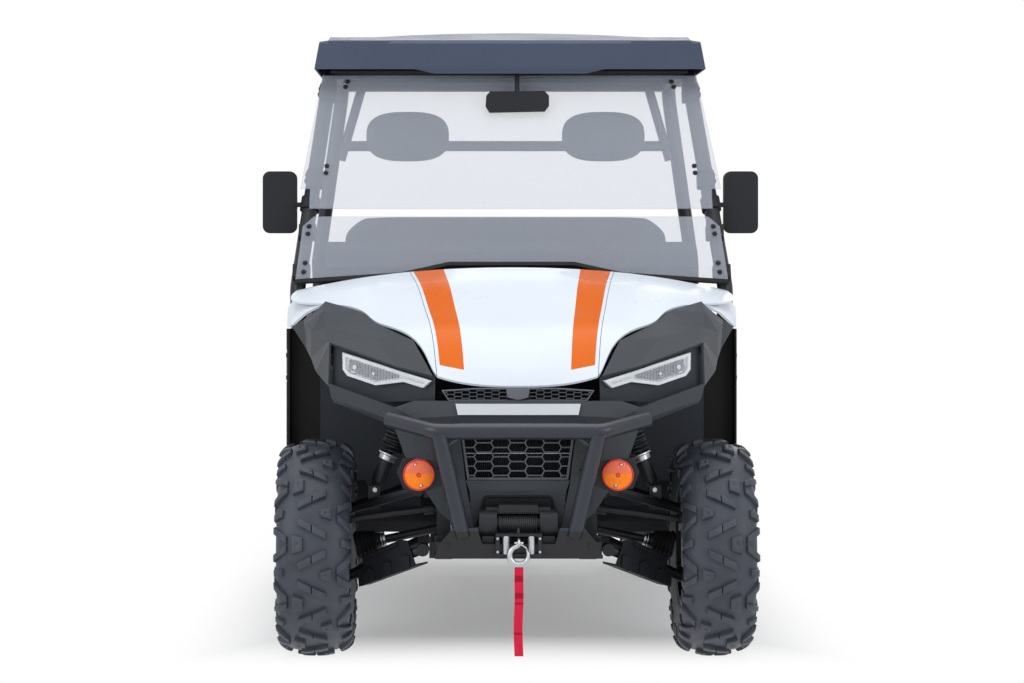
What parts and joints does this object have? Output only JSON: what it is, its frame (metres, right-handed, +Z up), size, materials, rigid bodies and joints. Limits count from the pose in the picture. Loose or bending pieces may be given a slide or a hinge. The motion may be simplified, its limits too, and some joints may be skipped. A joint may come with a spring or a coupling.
{
  "type": "side by side utility vehicle",
  "caption": "Two seat side by side utility vehicle with a roll cage, roof, split windscreen, half doors, front winch bumper, steered wheels, tilting cargo bed and drop tailgate.",
  "frame": {"origin": "on the ground under the middle of the vehicle's length and width", "axes": "+Z up, -Y the way the vehicle faces, +X its left side, where the driver sits"},
  "size_m": [1.63, 3.08, 1.9808],
  "materials": {
    "frame_steel": "satin black powder coat",
    "cage_steel": "satin black powder coat",
    "white_panel": "gloss white",
    "dark_plastic": "moulded grained dark grey",
    "black_plastic": "moulded black",
    "roof_plastic": "moulded dark blue grey",
    "silver_plate": "satin silver",
    "lamp_clear": "clear moulded lens over a silver reflector",
    "lamp_amber": "amber lens in a red rim",
    "lamp_red": "red lens",
    "bare_steel": "zinc plated",
    "aluminium": "cast",
    "strap_red": "woven webbing",
    "clear_pane": "clear polycarbonate",
    "seal_rubber": "black",
    "tyre_rubber": "black",
    "rim_metal": "satin black cast",
    "seat_cover": "black grained vinyl over foam",
    "bed_plastic": "textured black"
  },
  "bodies": {
    "vehicle": {"chassis_frame": "frame_steel", "front_frame": "frame_steel", "rear_frame": "frame_steel", "suspension_arms": "frame_steel", "arm_guards": "black_plastic", "shock_absorbers": "frame_steel", "drive_axles": "aluminium", "engine_block": "aluminium", "muffler": "bare_steel", "hitch_receiver": "frame_steel", "hood": "white_panel", "front_fenders": "dark_plastic", "front_fascia": "dark_plastic", "grille": "black_plastic", "nose_plate": "silver_plate", "headlamps": "lamp_clear", "lamp_bezels": "black_plastic", "inner_fenders": "black_plastic", "radiator": "aluminium", "bull_bar": "frame_steel", "winch": "frame_steel", "winch_hook": "bare_steel", "hook_strap": "strap_red", "marker_lamps": "lamp_amber", "lamp_brackets": "frame_steel", "floor_tub": "black_plastic", "roll_cage": "cage_steel", "roof": "roof_plastic", "windscreen": "clear_pane", "screen_seal": "seal_rubber", "screen_clamps": "black_plastic", "side_mirrors": "black_plastic", "interior_mirror": "black_plastic", "dashboard": "black_plastic", "steering_column": "frame_steel", "steering_rack": "aluminium", "seat_cushion": "seat_cover", "seat_backrest": "seat_cover", "headrests": "seat_cover", "rear_fenders": "black_plastic", "door_hinges": "frame_steel"},
    "bed": {"cargo_bed": "bed_plastic", "tail_lamps": "lamp_red"},
    "tailgate": {"tailgate": "bed_plastic"},
    "steering_wheel": {"steering_wheel": "black_plastic"},
    "tie_rods": {"tie_rods": "frame_steel"},
    "door_left": {"door_left": "dark_plastic"},
    "door_right": {"door_right": "dark_plastic"},
    "knuckle_left": {"knuckle_front_left": "frame_steel"},
    "knuckle_right": {"knuckle_front_right": "frame_steel"},
    "wheel_front_left": {"tyre_front_left": "tyre_rubber", "rim_front_left": "rim_metal"},
    "wheel_front_right": {"tyre_front_right": "tyre_rubber", "rim_front_right": "rim_metal"},
    "wheel_rear_left": {"tyre_rear_left": "tyre_rubber", "rim_rear_left": "rim_metal"},
    "wheel_rear_right": {"tyre_rear_right": "tyre_rubber", "rim_rear_right": "rim_metal"}
  },
  "joints": [
    {"name": "steer_left", "type": "hinge", "parent": "vehicle", "child": "knuckle_left", "pos_m": [0.525, -0.98, 0.33], "axis": [0, 0, 1], "range_deg": [-28, 28]},
    {"name": "steer_right", "type": "hinge", "parent": "vehicle", "child": "knuckle_right", "pos_m": [-0.525, -0.98, 0.33], "axis": [0, 0, 1], "range_deg": [-28, 28]},
    {"name": "rack_slide", "type": "slide", "parent": "vehicle", "child": "tie_rods", "axis": [1, 0, 0], "range_m": [-0.0395, 0.0395]},
    {"name": "steering_wheel_turn", "type": "hinge", "parent": "vehicle", "child": "steering_wheel", "pos_m": [0.36, -0.19, 1.13], "axis": [0, 0.788, 0.6157], "range_deg": [-270, 270]},
    {"name": "spin_front_left", "type": "hinge", "parent": "knuckle_left", "child": "wheel_front_left", "pos_m": [0.602, -0.98, 0.33], "axis": [1, 0, 0], "continuous": true},
    {"name": "spin_front_right", "type": "hinge", "parent": "knuckle_right", "child": "wheel_front_right", "pos_m": [-0.602, -0.98, 0.33], "axis": [1, 0, 0], "continuous": true},
    {"name": "spin_rear_left", "type": "hinge", "parent": "vehicle", "child": "wheel_rear_left", "pos_m": [0.595, 1.02, 0.33], "axis": [1, 0, 0], "continuous": true},
    {"name": "spin_rear_right", "type": "hinge", "parent": "vehicle", "child": "wheel_rear_right", "pos_m": [-0.595, 1.02, 0.33], "axis": [1, 0, 0], "continuous": true},
    {"name": "door_left_hinge", "type": "hinge", "parent": "vehicle", "child": "door_left", "pos_m": [0.718, -0.5, 0.7], "axis": [0, 0, -1], "range_deg": [0, 65]},
    {"name": "door_right_hinge", "type": "hinge", "parent": "vehicle", "child": "door_right", "pos_m": [-0.718, -0.5, 0.7], "axis": [0, 0, 1], "range_deg": [0, 65]},
    {"name": "bed_tilt", "type": "hinge", "parent": "vehicle", "child": "bed", "pos_m": [0, 1.4, 0.754], "axis": [-1, 0, 0], "range_deg": [0, 42]},
    {"name": "tailgate_drop", "type": "hinge", "parent": "bed", "child": "tailgate", "pos_m": [0, 1.511, 0.772], "axis": [-1, 0, 0], "range_deg": [0, 90]}
  ],
  "couplings": [
    {"joint": "steer_right", "follows": "steer_left", "ratio": 1},
    {"joint": "rack_slide", "follows": "steer_left", "m_per_rad": 0.08},
    {"joint": "steering_wheel_turn", "follows": "steer_left", "ratio": 9.6}
  ]
}
